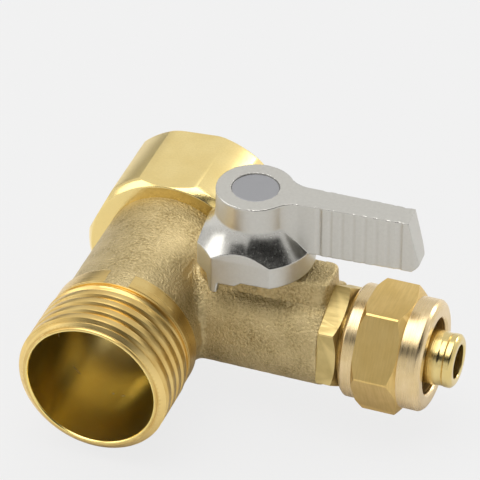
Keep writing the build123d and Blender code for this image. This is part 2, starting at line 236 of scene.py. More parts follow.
def recast(shape, voxel, rounds):
    """Melt a shape into fine even faces and relax them, as casting and plating soften edges."""
    thing = as_object(shape)
    melt = thing.modifiers.new("melt", "REMESH")
    melt.mode, melt.voxel_size = "VOXEL", voxel
    relax = thing.modifiers.new("relax", "SMOOTH")
    relax.factor, relax.iterations = 0.5, rounds
    return settled(thing)


# %% [markdown]
# ## From a shape to a piece
# A piece is put in metres, rides on its body, hides the solids it stands for and takes its finish.
# Edges sharper than the given angle stay crisp, all others are shaded smooth.


# %% Show a shape as a piece of the valve
def show(name, shape, body, finish, stands_for, crisp=25):
    bmesh.ops.scale(shape, vec=(MM, MM, MM), verts=shape.verts)
    piece = as_object(shape, name)
    mesh = piece.data
    mesh.shade_smooth()
    mesh.set_sharp_from_angle(angle=radians(crisp))
    mesh.materials.append(finish)
    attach(piece, body)
    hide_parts(*stands_for)
    print(name, "faces", len(mesh.polygons))


def trimmed(shape, axis, start=None, end=None, dist=1e-5):
    """Keep what lies between two places along the axis, with the cuts filled."""
    for place, keep in ((start, -1), (end, 1)):
        if place is None:
            continue
        bmesh.ops.bisect_plane(shape, geom=shape.verts[:] + shape.edges[:] + shape.faces[:],
                               dist=dist, plane_co=axis * place, plane_no=axis * keep,
                               clear_outer=True)
    bmesh.ops.holes_fill(shape, edges=[e for e in shape.edges if e.is_boundary], sides=0)


def copied(node):
    """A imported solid's own mesh in millimetres, with its loose triangles joined."""
    shape = bmesh.new()
    shape.from_mesh(nodes[node].data)
    bmesh.ops.scale(shape, vec=(1 / MM,) * 3, verts=shape.verts)
    bmesh.ops.remove_doubles(shape, verts=shape.verts, dist=1e-3)
    return shape


# %% [markdown]
# ## Finishes: shared effects
# Grain, turned lines, and wear with painted shade in corners are used by several metals, so each is
# a node group.
# A group gives only masks and heights. The metal itself is a Principled shader in each material.


# %% Start a node group and wire nodes by name
def start_group(name, inputs, outputs):
    group = bpy.data.node_groups.new(name, "ShaderNodeTree")
    for label, kind, value in inputs:
        socket = group.interface.new_socket(label, in_out="INPUT", socket_type=kind)
        if value is not None:
            socket.default_value = value
    for label, kind in outputs:
        group.interface.new_socket(label, in_out="OUTPUT", socket_type=kind)
    return group, group.nodes.new("NodeGroupInput"), group.nodes.new("NodeGroupOutput")


def add_node(tree, kind, values=(), links=(), **settings):
    """A node with its settings, its sockets' values and its incoming links."""
    node = tree.nodes.new(kind)
    for key, value in settings.items():
        setattr(node, key, value)
    for key, value in dict(values).items():
        node.inputs[key].default_value = value
    for key, source in dict(links).items():
        tree.links.new(source, node.inputs[key])
    return node


def ramp_between(tree, source, low, high, out_low=0.0, out_high=1.0):
    """A clamped straight ramp of a value."""
    node = add_node(tree, "ShaderNodeMapRange", links={0: source})
    for index, value in ((1, low), (2, high), (3, out_low), (4, out_high)):
        node.inputs[index].default_value = value
    return node.outputs[0]


def math_node(tree, operation, first, second=None):
    node = tree.nodes.new("ShaderNodeMath")
    node.operation = operation
    for index, value in enumerate((first, second)):
        if value is None:
            continue
        if isinstance(value, (int, float)):
            node.inputs[index].default_value = value
        else:
            tree.links.new(value, node.inputs[index])
    return node.outputs[0]


def noise_node(tree, vector, scale, detail=3.0, roughness=0.5):
    values = {"Scale": scale, "Detail": detail, "Roughness": roughness}
    return add_node(tree, "ShaderNodeTexNoise", values, {"Vector": vector}).outputs[0]


# %% [markdown]
# Shot blasting leaves small dents of one size, with finer grit in them. Two noises of different
# scale give the height, and a slow third one gives the stains of a casting.


# %% Blasted skin group
def make_blasted():
    group, inside, outside = start_group(
        "blasted_skin",
        [("Vector", "NodeSocketVector", None), ("Dents per metre", "NodeSocketFloat", 1500.0)],
        [("Height", "NodeSocketFloat"), ("Stain", "NodeSocketFloat")])
    place, scale = inside.outputs["Vector"], inside.outputs["Dents per metre"]
    dents = add_node(group, "ShaderNodeTexNoise", {"Detail": 2.0, "Roughness": 0.55},
                     {"Vector": place, "Scale": scale})
    fine = add_node(group, "ShaderNodeTexNoise", {"Detail": 2.0},
                    {"Vector": place, "Scale": math_node(group, "MULTIPLY", scale, 2.7)})
    slow = noise_node(group, place, 260.0, 4.0)
    fine_height = math_node(group, "MULTIPLY", fine.outputs[0], 0.35)
    height = math_node(group, "ADD", dents.outputs[0], fine_height)
    group.links.new(height, outside.inputs["Height"])
    group.links.new(ramp_between(group, slow, 0.35, 0.68), outside.inputs["Stain"])
    return group


# %% [markdown]
# A turning tool leaves fine rings that run round the axis. Noise of one dimension, read along that
# axis, gives rings of uneven depth. Rings of two sizes keep it from looking like a grating.


# %% Turned lines group
def make_turned_lines():
    group, inside, outside = start_group(
        "turned_lines",
        [("Along", "NodeSocketFloat", 0.0), ("Rings per metre", "NodeSocketFloat", 9000.0)],
        [("Height", "NodeSocketFloat")])
    along, scale = inside.outputs["Along"], inside.outputs["Rings per metre"]
    rings = add_node(group, "ShaderNodeTexNoise", {"Detail": 2.0, "Roughness": 0.6},
                     {"W": along, "Scale": scale}, noise_dimensions="1D")
    broad = add_node(group, "ShaderNodeTexNoise", {"Detail": 1.0},
                     {"W": along, "Scale": math_node(group, "MULTIPLY", scale, 0.22)},
                     noise_dimensions="1D")
    height = math_node(group, "ADD", rings.outputs[0], broad.outputs[0])
    group.links.new(height, outside.inputs["Height"])
    return group


# %% [markdown]
# Handling rubs the high edges bright. Geometry's Pointiness is high on edges and low in corners,
# so a ramp of it, broken up by noise, gives one mask for worn edges and one for painted shade in
# corners.


# %% Edge wear and painted corner shade group
def make_wear_and_corner_shade():
    group, inside, outside = start_group(
        "wear_and_corner_shade",
        [("Vector", "NodeSocketVector", None)],
        [("Worn", "NodeSocketFloat"), ("Corner shade", "NodeSocketFloat")])
    point = group.nodes.new("ShaderNodeNewGeometry").outputs["Pointiness"]
    patches = noise_node(group, inside.outputs["Vector"], 900.0)
    broken = math_node(group, "MULTIPLY", patches, 0.03)
    shifted = math_node(group, "SUBTRACT", math_node(group, "ADD", point, broken), 0.015)
    group.links.new(ramp_between(group, shifted, 0.53, 0.6), outside.inputs["Worn"])
    # Low pointiness gives the mask that darkens corners: painted shade.
    group.links.new(ramp_between(group, shifted, 0.47, 0.41), outside.inputs["Corner shade"])
    return group


blasted, turned_lines, wear_and_corner_shade = make_blasted(), make_turned_lines(), make_wear_and_corner_shade()
print("shared effects", [g.name for g in (blasted, turned_lines, wear_and_corner_shade)])


# %% [markdown]
# ## Finishes: the metals
# Every metal is Metallic 1, so its colour is the colour of its reflection. What tells a blasted
# forging from a turned collar is roughness and the small relief in the normal.


# %% A metal with its base ready
def start_material(name, rough, metallic=1.0, base=(0.8, 0.8, 0.8)):
    material = bpy.data.materials.new(name)
    material.use_nodes = True
    tree = material.node_tree
    shader = tree.nodes["Principled BSDF"]
    shader.inputs["Metallic"].default_value = metallic
    shader.inputs["Roughness"].default_value = rough
    shader.inputs["Base Color"].default_value = (*base, 1)
    place = tree.nodes.new("ShaderNodeTexCoord").outputs["Object"]
    return material, tree, shader, place


def colour_mix(tree, mask, first, second):
    mix = add_node(tree, "ShaderNodeMix", data_type="RGBA")
    tree.links.new(mask, mix.inputs[0])
    for index, colour in ((6, first), (7, second)):
        if isinstance(colour, tuple):
            mix.inputs[index].default_value = (*colour, 1)
        else:
            tree.links.new(colour, mix.inputs[index])
    return mix.outputs[2]


def scaled(colour, share):
    """A colour times a share, no channel above 1."""
    return tuple(min(1, share * c) for c in colour)


def bump(tree, shader, height, strength, distance):
    values = {"Strength": strength, "Distance": distance}
    node = add_node(tree, "ShaderNodeBump", values, {"Height": height})
    tree.links.new(node.outputs[0], shader.inputs["Normal"])


def use_group(tree, group, links, values=()):
    node = add_node(tree, "ShaderNodeGroup", node_tree=group)
    for key, value in dict(values).items():
        node.inputs[key].default_value = value
    for key, source in links.items():
        tree.links.new(source, node.inputs[key])
    return node


def coordinates(tree, vector):
    """The three parts of a place or a normal."""
    return add_node(tree, "ShaderNodeSeparateXYZ", links={0: vector}).outputs


def distance_from(tree, parts, axis):
    """Distance of a place from the given coordinate axis."""
    squares = [math_node(tree, "MULTIPLY", parts[i], parts[i]) for i in range(3) if i != axis]
    return math_node(tree, "SQRT", math_node(tree, "ADD", squares[0], squares[1]))


def cast_metal(name, light, dark, rough, dents, depth):
    """A blasted skin: light on its crests, dark in its dents, painted shade in its corners, rubbed
    on its edges.
    """
    material, tree, shader, place = start_material(name, rough)
    skin = use_group(tree, blasted, {"Vector": place}, {"Dents per metre": dents})
    wear_and_shade = use_group(tree, wear_and_corner_shade, {"Vector": place})
    colour = colour_mix(tree, skin.outputs["Stain"], dark, light)
    height = skin.outputs["Height"]
    crests = ramp_between(tree, height, 0.5, 0.85)
    # Corners go towards a deep brown: painted shade where less light falls.
    corner_shaded = colour_mix(tree, wear_and_shade.outputs["Corner shade"], colour, scaled(dark, 0.55))
    colour = colour_mix(tree, crests, corner_shaded, light)
    colour = colour_mix(tree, wear_and_shade.outputs["Worn"], colour, scaled(light, 1.15))
    tree.links.new(colour, shader.inputs["Base Color"])
    tree.links.new(ramp_between(tree, height, 0.4, 0.9, rough + 0.1, rough - 0.06),
                   shader.inputs["Roughness"])
    bump(tree, shader, height, 1.0, depth)
    return material


def turned_metal(name, axis, light, dark, rough, rings, depth, bore=None):
    """Rings round an axis; inside the bore radius the metal is honed and deeper in colour, and
    brighter as painted light.
    """
    material, tree, shader, place = start_material(name, rough)
    parts = coordinates(tree, place)
    lines = use_group(tree, turned_lines, {"Along": parts[axis]}, {"Rings per metre": rings})
    wear_and_shade = use_group(tree, wear_and_corner_shade, {"Vector": place})
    stain = ramp_between(tree, noise_node(tree, place, 330.0, 4.0), 0.35, 0.7)
    colour = colour_mix(tree, stain, dark, light)
    colour = colour_mix(tree, wear_and_shade.outputs["Worn"], colour, scaled(light, 1.1))
    height = lines.outputs["Height"]
    if bore:
        inside = ramp_between(tree, distance_from(tree, parts, axis), bore, bore * 1.02, 1.0, 0.0)
        height = math_node(tree, "MULTIPLY", height, math_node(tree, "SUBTRACT", 1.0, inside))
        # The bore takes a brighter brass than the outside: painted light in place of the little
        # light that reaches into it.
        colour = colour_mix(tree, inside, colour, HONED_BRASS_WITH_PAINTED_LIGHT)
    tree.links.new(colour, shader.inputs["Base Color"])
    tree.links.new(ramp_between(tree, height, 0.6, 1.4, rough - 0.04, rough + 0.08),
                   shader.inputs["Roughness"])
    bump(tree, shader, height, 1.0, depth)
    return material


def grained_metal(name, light, dark, rough, stretch, depth):
    """Fine straight grain of a drawn or milled face; stretch is the grain's scale on each axis."""
    material, tree, shader, place = start_material(name, rough)
    mapping = add_node(tree, "ShaderNodeMapping", {"Scale": stretch}, {"Vector": place})
    grain = noise_node(tree, mapping.outputs[0], 1.0, 3.0, 0.6)
    wear_and_shade = use_group(tree, wear_and_corner_shade, {"Vector": place})
    stain = ramp_between(tree, noise_node(tree, place, 300.0, 4.0), 0.35, 0.7)
    lines = ramp_between(tree, grain, 0.35, 0.65, 0.0, 0.45)
    colour = colour_mix(tree, lines, colour_mix(tree, stain, dark, light), scaled(dark, 0.8))
    colour = colour_mix(tree, wear_and_shade.outputs["Worn"], colour, scaled(light, 1.12))
    tree.links.new(colour, shader.inputs["Base Color"])
    tree.links.new(ramp_between(tree, grain, 0.3, 0.7, rough - 0.05, rough + 0.08),
                   shader.inputs["Roughness"])
    bump(tree, shader, grain, 1.0, depth)
    return material


def tumbled_metal(name, light, dark, rough, face_rough, depth):
    """A softly speckled metal whose front face and front chamfer were turned smooth and are painted
    a little darker as shade.
    """
    material, tree, shader, place = start_material(name, rough)
    facing = coordinates(tree, tree.nodes.new("ShaderNodeNewGeometry").outputs["Normal"])
    # Faces turned to the front are smoother, which is real, and darker, which is painted shade.
    smooth_shaded_front = ramp_between(tree, facing[1], -0.4, -0.25, 1.0, 0.0)
    speckle = noise_node(tree, place, 4200.0, 3.0, 0.6)
    stain = ramp_between(tree, noise_node(tree, place, 260.0, 4.0), 0.35, 0.7)
    colour = colour_mix(tree, stain, dark, light)
    speckled = ramp_between(tree, speckle, 0.35, 0.65, 0.0, 0.35)
    colour = colour_mix(tree, speckled, colour, scaled(dark, 0.85))
    colour = colour_mix(tree, smooth_shaded_front, colour, scaled(dark, 0.97))
    tree.links.new(colour, shader.inputs["Base Color"])
    tree.links.new(ramp_between(tree, smooth_shaded_front, 0.0, 1.0, rough, face_rough),
                   shader.inputs["Roughness"])
    bump(tree, shader, speckle, 0.8, depth)
    return material


def satin_metal(name, light, dark, rough, depth, slope_rough=None):
    """An even satin with a faint mottle and no stains; slopes may be polished brighter."""
    material, tree, shader, place = start_material(name, rough)
    mottle = noise_node(tree, place, 2600.0, 4.0, 0.6)
    colour = colour_mix(tree, ramp_between(tree, mottle, 0.3, 0.7), dark, light)
    tree.links.new(colour, shader.inputs["Base Color"])
    satin = ramp_between(tree, mottle, 0.3, 0.7, rough - 0.04, rough + 0.06)
    if slope_rough:
        facing = coordinates(tree, tree.nodes.new("ShaderNodeNewGeometry").outputs["Normal"])
        rising = ramp_between(tree, facing[2], 0.3, 0.42)
        not_level = ramp_between(tree, facing[2], 0.9, 0.97, 1.0, 0.0)
        slope = math_node(tree, "MULTIPLY", rising, not_level)
        drop = math_node(tree, "MULTIPLY", slope, rough - slope_rough)
        satin = math_node(tree, "SUBTRACT", satin, drop)
    tree.links.new(satin, shader.inputs["Roughness"])
    bump(tree, shader, mottle, 0.8, depth)
    return material


# %% [markdown]
# The forging is a duller yellow brown than the turned brass. The hexagonal end was tumbled and
# sits between the two. Nut and nipple are bar stock, so their colour is a cleaner gold.

# %% The brass finishes
# The honed bore's brass is brighter than the other brass: painted light for the inside of the bore.
HONED_BRASS_WITH_PAINTED_LIGHT = (0.98, 0.79, 0.29)
cast_brass = cast_metal("blasted_forging", (0.65, 0.52, 0.275), (0.35, 0.26, 0.11), 0.43,
                        3000.0, 0.0002)
hex_brass = tumbled_metal("tumbled_hexagon", (0.98, 0.79, 0.36), (0.92, 0.72, 0.30), 0.34,
                          0.18, 0.000012)
thread_brass = turned_metal("cut_thread", 1, (0.80, 0.59, 0.23), (0.72, 0.49, 0.16), 0.29,
                            7000.0, 0.000008, 0.00905)
bright_brass = turned_metal("bright_turned_brass", 0, (0.84, 0.66, 0.39), (0.74, 0.56, 0.29), 0.27,
                            8000.0, 0.000012)
nipple_brass = turned_metal("turned_connector", 0, (0.82, 0.66, 0.30), (0.75, 0.58, 0.23), 0.2,
                            8000.0, 0.00001)
nut_brass = grained_metal("grained_nut_flats", (0.80, 0.58, 0.23), (0.72, 0.50, 0.17), 0.38,
                          (3600.0, 250.0, 250.0), 0.00002)
flange_brass = grained_metal("milled_flange", (0.66, 0.52, 0.23), (0.54, 0.41, 0.16), 0.48,
                             (400.0, 3000.0, 400.0), 0.00001)


# %% [markdown]
# The lever is a zinc casting under nickel plate. The plate rounds all edges and leaves a fine
# satin. The cap in the hub is a plain grey disc that reflects more softly.

# %% Plate, cap and hidden finishes
satin_plate = satin_metal("satin_nickel_plate", (0.61, 0.595, 0.55), (0.56, 0.545, 0.50), 0.4,
                          0.000005, 0.22)
grey_cap = satin_metal("satin_grey_cap", (0.39, 0.39, 0.40), (0.37, 0.37, 0.382), 0.42, 0.000002)
print("finishes", len(bpy.data.materials))


# %% [markdown]
# ## A helical thread
# A thread is one tooth outline carried round and along its axis. Spin does both at once: each step
# turns a little and moves a little, and after one turn the outline meets its own start. The two
# ends are cut square and filled, which gives a threaded bar to work with.

# %% A threaded bar
THREAD_STEPS, FLANK_ANGLE = 96, radians(27.5)


def threaded_bar(axis, crest_r, root_r, pitch, crest, start, end, fade=None, phase=0.0):
    """A right-handed bar with that width of crest, fading to full size between two places."""
    shape = bmesh.new()
    depth = crest_r - root_r
    flank = depth * tan(FLANK_ANGLE)
    root = pitch - crest - 2 * flank
    tooth = [(0, root_r), (root / 2, root_r), (root / 2 + flank, crest_r),
             (root / 2 + flank + crest, crest_r), (root / 2 + crest + 2 * flank, root_r),
             (pitch, root_r)]
    turns = int((end - start) / pitch) + 3
    first = start - 1.5 * pitch + phase
    line = [shape.verts.new(axis * (first + along) + beside(axis) * r) for along, r in tooth]
    for a, b in zip(line, line[1:]):
        shape.edges.new((a, b))
    bmesh.ops.bevel(shape, geom=line[1:-1], offset=depth * 0.12, segments=2, profile=0.5,
                    affect="VERTICES", material=-1)
    bmesh.ops.spin(shape, geom=shape.verts[:] + shape.edges[:], cent=(0, 0, 0), axis=axis,
                   dvec=axis * (pitch / THREAD_STEPS), angle=2 * pi * turns,
                   steps=THREAD_STEPS * turns)
    bmesh.ops.remove_doubles(shape, verts=shape.verts, dist=1e-4)
    trimmed(shape, axis, start, end, 1e-6)
    if fade:
        for vert in shape.verts:
            along = vert.co.dot(axis)
            out = vert.co - axis * along
            share = min(max((along - fade[0]) / (fade[1] - fade[0]), 0), 1)
            if out.length > 0.5 * root_r:
                wanted = out.length + (crest_r - out.length) * share
                vert.co = axis * along + out.normalized() * wanted
    bmesh.ops.recalc_face_normals(shape, faces=shape.faces)
    return shape


# %% [markdown]
# ## The turned male end
# On the real valve the end of the run is chased on a lathe: lead, five turns of pipe thread, a
# narrow relief and a smooth band. The blank is turned first and then cut back by the thread, so
# the lead trims the first turn to a feather edge, as a die leaves it.

# %% Male end with its pipe thread
PIPE_PITCH, PIPE_CREST_R, PIPE_ROOT_R = 1.814, 10.4775, 9.3155
CHASED_ROOT_R, CHASED_CREST = 9.88, 0.98
MOUTH_Y, THREAD_END_Y, BAND_START_Y, BAND_END_Y, TUBE_END_Y = -22.2, -13.3, -12.85, -9.8, 9.18
RELIEF_R, BAND_R, TUBE_R, BLANK_R, BRANCH_WAY_R = 9.95, 10.3, 9.1, 10.52, 3.1
male_blank = turned(AXIS_Y, [
    (MOUTH_Y, 9.0, 0.04), (MOUTH_Y, 9.36, 0.05), (-22.0, 9.44), (-22.0, 9.6, 0.05),
    (-21.25, BLANK_R), (-13.8, BLANK_R), (THREAD_END_Y, RELIEF_R, 0.05),
    (BAND_START_Y, RELIEF_R, 0.05), (BAND_START_Y, BAND_R, 0.08),
    (-12.55, BAND_R), (-12.48, 10.22), (-12.41, BAND_R), (BAND_END_Y, BAND_R, 0.15),
    (BAND_END_Y, TUBE_R), (TUBE_END_Y, TUBE_R), (TUBE_END_Y, BORE_R), (-15.0, BORE_R),
    (-22.0, 8.88, 0.05),
])
pipe_thread = threaded_bar(AXIS_Y, PIPE_CREST_R, CHASED_ROOT_R, PIPE_PITCH, CHASED_CREST,
                           -23.5, -12.9, fade=(-14.9, THREAD_END_Y), phase=1.2)
unthreaded = turned(AXIS_Y, [(-12.95, 0), (-12.95, 12), (10, 12), (10, 0)])
male_end = cut(male_blank, cut(pipe_thread, unthreaded, "UNION"), "INTERSECT")
branch_hole = turned(AXIS_X, [(0, 0), (0, BRANCH_WAY_R), (12, BRANCH_WAY_R), (12, 0)], 64)
male_end = cut(male_end, branch_hole)
show("turned_male_end", male_end, "valve_body", thread_brass, ["valve_body"])

# %% [markdown]
# ## The forged tee
# Barrel, branch and stem pad are one forging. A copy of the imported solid's middle gives their
# shape. Its two cut ends are moved out to where the forged skin stops on the real valve.

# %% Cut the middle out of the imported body
CUT_FRONT_Y, CUT_BACK_Y = -7.2, 7.4
SKIN_FRONT_Y, SKIN_BACK_Y, CORE_R = -12.78, 8.6, 8.8
tee = copied("valve_body")
trimmed(tee, AXIS_Y, CUT_FRONT_Y, CUT_BACK_Y)
for vert in tee.verts:
    if vert.co.y < CUT_FRONT_Y + 0.01:
        vert.co.y = SKIN_FRONT_Y
    elif vert.co.y > CUT_BACK_Y - 0.01:
        vert.co.y = SKIN_BACK_Y
bmesh.ops.triangulate(tee, faces=[f for f in tee.faces if len(f.verts) > 4])
bmesh.ops.recalc_face_normals(tee, faces=tee.faces)
tee = cut(tee, turned(AXIS_Y, [(-12, 0), (-12, CORE_R), (12, CORE_R), (12, 0)], 96))
print("middle of the body", len(tee.faces), "faces")

# %% [markdown]
# The copy is melted into even faces and relaxed, which rounds its edges like a forging's. Over
# the turned band behind the thread the skin stays only on a narrow strip at the top, where the
# lathe tool missed it. Everywhere else it dives under the band.

# %% Melt and relax it, and let the band come out of it
tee = recast(tee, 0.2, 6)
UNTURNED_R, BURIED_R, BARREL_R = 10.36, 10.0, 10.9
STRIP_HALF_ANGLE, STRIP_FADE = 13.0, 4.0
NECK_Y, ROUND_FROM_Y, ROUND_LENGTH = -6.8, -6.9, 1.2


def share_of(value):
    return min(max(value, 0.0), 1.0)


for vert in tee.verts:
    x, y, z = vert.co
    radius = hypot(x, z)
    if y > NECK_Y or radius < 9.5:
        continue
    on_top = share_of((STRIP_HALF_ANGLE - abs(degrees(atan2(x, z)))) / STRIP_FADE)
    rise = share_of((y - BAND_END_Y) / 3.0) ** 0.7
    strip = UNTURNED_R + (radius - UNTURNED_R) * rise
    plain = radius + (min(radius, BARREL_R) - radius) * share_of((ROUND_FROM_Y - y) / ROUND_LENGTH)
    wanted = on_top * strip + (1 - on_top) * (plain if y > BAND_END_Y else BURIED_R)
    vert.co.x, vert.co.z = x * wanted / radius, z * wanted / radius

# %% [markdown]
# Then each point outside is moved a few hundredths of a millimetre by noise, because a blasted
# skin is never a true surface, and a low flash line runs where the two dies met. The stem pad is
# not roughened. It is drawn in a little instead, so that the lever's teeth clear its sides.

# %% Roughen the skin
bmesh.ops.recalc_face_normals(tee, faces=tee.faces)
tee.normal_update()
FLASH_HEIGHT, FLASH_WIDTH, FLASH_WANDER, LUMP_HEIGHT, GRIT_HEIGHT = 0.09, 0.22, 0.06, 0.022, 0.014
PAD_LOW_Z, PAD_HALF_Y, PAD_START_X, PAD_END_X = 7.2, 4.4, 6.4, 24
STOP_ROOM, STEM_HOLE_R = 0.07, 3.2
for vert in tee.verts:
    x, y, z = vert.co
    in_branch = x > 8 and hypot(y, z) < 6.4
    if hypot(x, z) < 9.2 or in_branch or x > 25.9:
        continue
    if z > PAD_LOW_Z and abs(y) < PAD_HALF_Y and PAD_START_X < x < PAD_END_X:
        if hypot(x - STEM.x, y) > STEM_HOLE_R:
            vert.co -= vert.normal * STOP_ROOM
        continue
    lump = noise.fractal(vert.co * 0.9, 1.0, 2.0, 3)
    grit = noise.noise(vert.co * 3.1)
    from_flash = abs(z + FLASH_WANDER * noise.noise(vert.co * 0.8))
    flash = FLASH_HEIGHT * max(0.0, 1 - from_flash / FLASH_WIDTH)
    relief = LUMP_HEIGHT * lump + GRIT_HEIGHT * grit + (flash if x > 6 else 0.3 * flash)
    vert.co += vert.normal * relief
show("forged_tee", tee, "valve_body", cast_brass, ["valve_body"], 60)

# %% [markdown]
# ## The hexagonal end
# A hexagonal bar whose corners were turned down: the bar and the turned outline are cut with each
# other. It stands a few degrees turned, so its lowest edge is kept from going through the floor.
# The inside is bored out for a threaded sleeve, so that the female thread is real too.

# %% Hexagonal block
HEX_TURN, HEX_FLATS, HEX_TURNED_R = radians(-4.5), 24.0, 12.75
HEX_FRONT_Y, HEX_BACK_Y, SEAT_Y = 7.8, 21.35, 9.2
hex_block = hexagon_bar(AXIS_Y, HEX_FRONT_Y, HEX_BACK_Y, HEX_FLATS, HEX_TURN, 0.5, 4)
hex_outline = turned(AXIS_Y, [
    (HEX_FRONT_Y, 0), (HEX_FRONT_Y, 11.9, 0.12), (8.9, HEX_TURNED_R, 0.4),
    (HEX_BACK_Y - 0.4, HEX_TURNED_R, 0.3), (HEX_BACK_Y, 12.3, 0.1), (HEX_BACK_Y, 0),
])
hex_block = cut(hex_block, hex_outline, "INTERSECT")
hex_room = turned(AXIS_Y, [
    (0, 0), (0, 9.0), (SEAT_Y, 9.0), (SEAT_Y, 10.9), (30, 10.9), (30, 0),
], 128)
hex_block = cut(hex_block, hex_room)
for vert in hex_block.verts:
    vert.co.z = max(vert.co.z, FLOOR_Z)
show("hexagonal_end", hex_block, "valve_body", hex_brass, ["valve_body"])

# %% Threaded sleeve of the female end
PORT_R, PORT_GROOVE_R, SLEEVE_R, SLEEVE_END_Y = 9.33, 10.3, 11.0, 21.3
sleeve = turned(AXIS_Y, [
    (SEAT_Y, PORT_GROOVE_R), (SEAT_Y, SLEEVE_R), (SLEEVE_END_Y, SLEEVE_R),
    (SLEEVE_END_Y, 10.6, 0.05), (20.1, PORT_R), (11.2, PORT_R), (11.2, PORT_GROOVE_R),
])
sleeve = cut(sleeve, threaded_bar(AXIS_Y, 10.5, PIPE_ROOT_R, PIPE_PITCH, 0.3, 11.4, 24.0))
show("female_thread_sleeve", sleeve, "valve_body", thread_brass, ["valve_body"])

# %% [markdown]
# ## The lever
# A die casting with plate on it. The hub is a turned flare, trimmed by flat sides with draft and
# cut corners. All of the lever is drawn with the stem at the origin and put in its place last.


# %% Hub and skirt
def stand_at_stem(shape):
    turn_it = Matrix.Rotation(LEVER_TURN, 3, "Z")
    bmesh.ops.rotate(shape, cent=(0, 0, 0), matrix=turn_it, verts=shape.verts)
    bmesh.ops.translate(shape, vec=STEM, verts=shape.verts)
    return shape


HUB_TOP_Z, BLADE_TOP_Z, BLADE_LOW_Z, SKIRT_TOP_Z, SKIRT_LOW_Z = 21.23, 21.08, 13.5, 13.6, 10.4
HUB_R, SKIRT_R, RECESS_R, REACH = 5.26, 8.1, 3.19, 22.95
FLARE_STEPS, FLARE_RISE, FLARE_DRAW, FLARE_SAG = 16, 3.9, 2.84, 1.4
SKIRT_DRAFT, TRIM_OVERSHOOT = radians(6), 1.13


def skirt_plan(inset=0.0):
    """Straight sides with cut corners at the far end; inset moves the sides in."""
    half, far, corner = 7.0 - inset, 6.8 - inset, 2.8 - 0.586 * inset
    one_side = [(18.0, half), (corner - far, half), (-far, half - corner)]
    return one_side + [(x, -y) for x, y in reversed(one_side)]


def flare_point(k):
    share = k / FLARE_STEPS
    radius = SKIRT_R - FLARE_DRAW * k / FLARE_STEPS - FLARE_SAG * share * (1 - share)
    return SKIRT_TOP_Z + FLARE_RISE * k / FLARE_STEPS, radius


hub = turned(AXIS_Z, [
    (SKIRT_LOW_Z, 0), (SKIRT_LOW_Z, SKIRT_R), *map(flare_point, range(FLARE_STEPS + 1)),
    (HUB_TOP_Z, HUB_R, 0.1), (HUB_TOP_Z, 0),
], 128)
draft = (HUB_TOP_Z - SKIRT_TOP_Z) * tan(SKIRT_DRAFT)
low_trim = plate(SKIRT_LOW_Z - 1, skirt_plan(), SKIRT_TOP_Z)
high_trim = plate(SKIRT_TOP_Z, skirt_plan(), HUB_TOP_Z + 1, skirt_plan(draft * TRIM_OVERSHOOT))
hub = cut(hub, cut(low_trim, high_trim, "UNION"), "INTERSECT")
print("hub and skirt", len(hub.faces), "faces")

# %% [markdown]
# The blade is the meeting of a side view and a plan, a tapered plate with a raked end. Shallow
# flutes for the fingers run up both of its faces.

# %% Fluted blade
side_view = rounded([(RECESS_R, HUB_TOP_Z), (REACH - 1.6, BLADE_TOP_Z, 0.12), (REACH, 14.4, 0.6),
                     (REACH - 1.0, BLADE_LOW_Z, 0.6), (RECESS_R, BLADE_LOW_Z)])
WEB_R, WEB_X, WEB_Y = 3.5, 6.73, 5.57
web = [(WEB_X + WEB_R * cos(radians(t)), WEB_Y + WEB_R * sin(radians(t)))
       for t in range(-140, -89, 5)]
one_side = [(RECESS_R, 4.1)] + web + [(REACH, 1.75, 0.9)]
plan = rounded(one_side + [(c[0], -c[1], *c[2:]) for c in reversed(one_side)])
blade = cut(lying(plate(-5, side_view, 5)), plate(BLADE_LOW_Z - 1, plan, BLADE_TOP_Z + 1),
            "INTERSECT")
FLUTES, FIRST_FLUTE, FLUTE_PITCH, FLUTE_R, FLUTE_DEPTH, END_DEPTH = 8, 9.25, 1.55, 1.0, 0.06, 0.14
ROOT_HALF, HALF_TAPER = 2.1, 0.35
for number in range(FLUTES):
    reach = FIRST_FLUTE + FLUTE_PITCH * number
    flute_depth = END_DEPTH if number in (0, FLUTES - 1) else FLUTE_DEPTH
    face = ROOT_HALF - HALF_TAPER * (reach - HUB_R) / (REACH - HUB_R)
    for side in (1, -1):
        flute = turned(AXIS_Z, [(BLADE_LOW_Z - 1, 0), (BLADE_LOW_Z - 1, FLUTE_R),
                                (BLADE_TOP_Z + 1, FLUTE_R), (BLADE_TOP_Z + 1, 0)], 64)
        place = (reach, side * (face + FLUTE_R - flute_depth), 0)
        bmesh.ops.translate(flute, vec=place, verts=flute.verts)
        blade = cut(blade, flute)
print("blade with", 2 * FLUTES, "flutes")

# %% [markdown]
# Two teeth hang below the skirt and stop on the sides of the stem pad. They come from the packed
# solid, whose stops are exact: its part below the skirt is kept and the rest is cut away.

# %% Stop teeth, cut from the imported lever
teeth = copied("handle")
turn_back = Matrix.Rotation(-LEVER_TURN, 3, "Z")
bmesh.ops.rotate(teeth, cent=STEM, matrix=turn_back, verts=teeth.verts)
bmesh.ops.translate(teeth, vec=-STEM, verts=teeth.verts)
trimmed(teeth, AXIS_Z, end=SKIRT_LOW_Z + 0.6)
teeth = cut(teeth, plate(SKIRT_LOW_Z - 4, skirt_plan(), SKIRT_TOP_Z), "INTERSECT")
print("stop teeth", len(teeth.faces), "faces")

# %% [markdown]
# The three are joined, and the hollow below, the recess for the cap and the screw's hole are cut.
# Melting rounds all edges, so the level faces are set back to their exact heights afterwards.

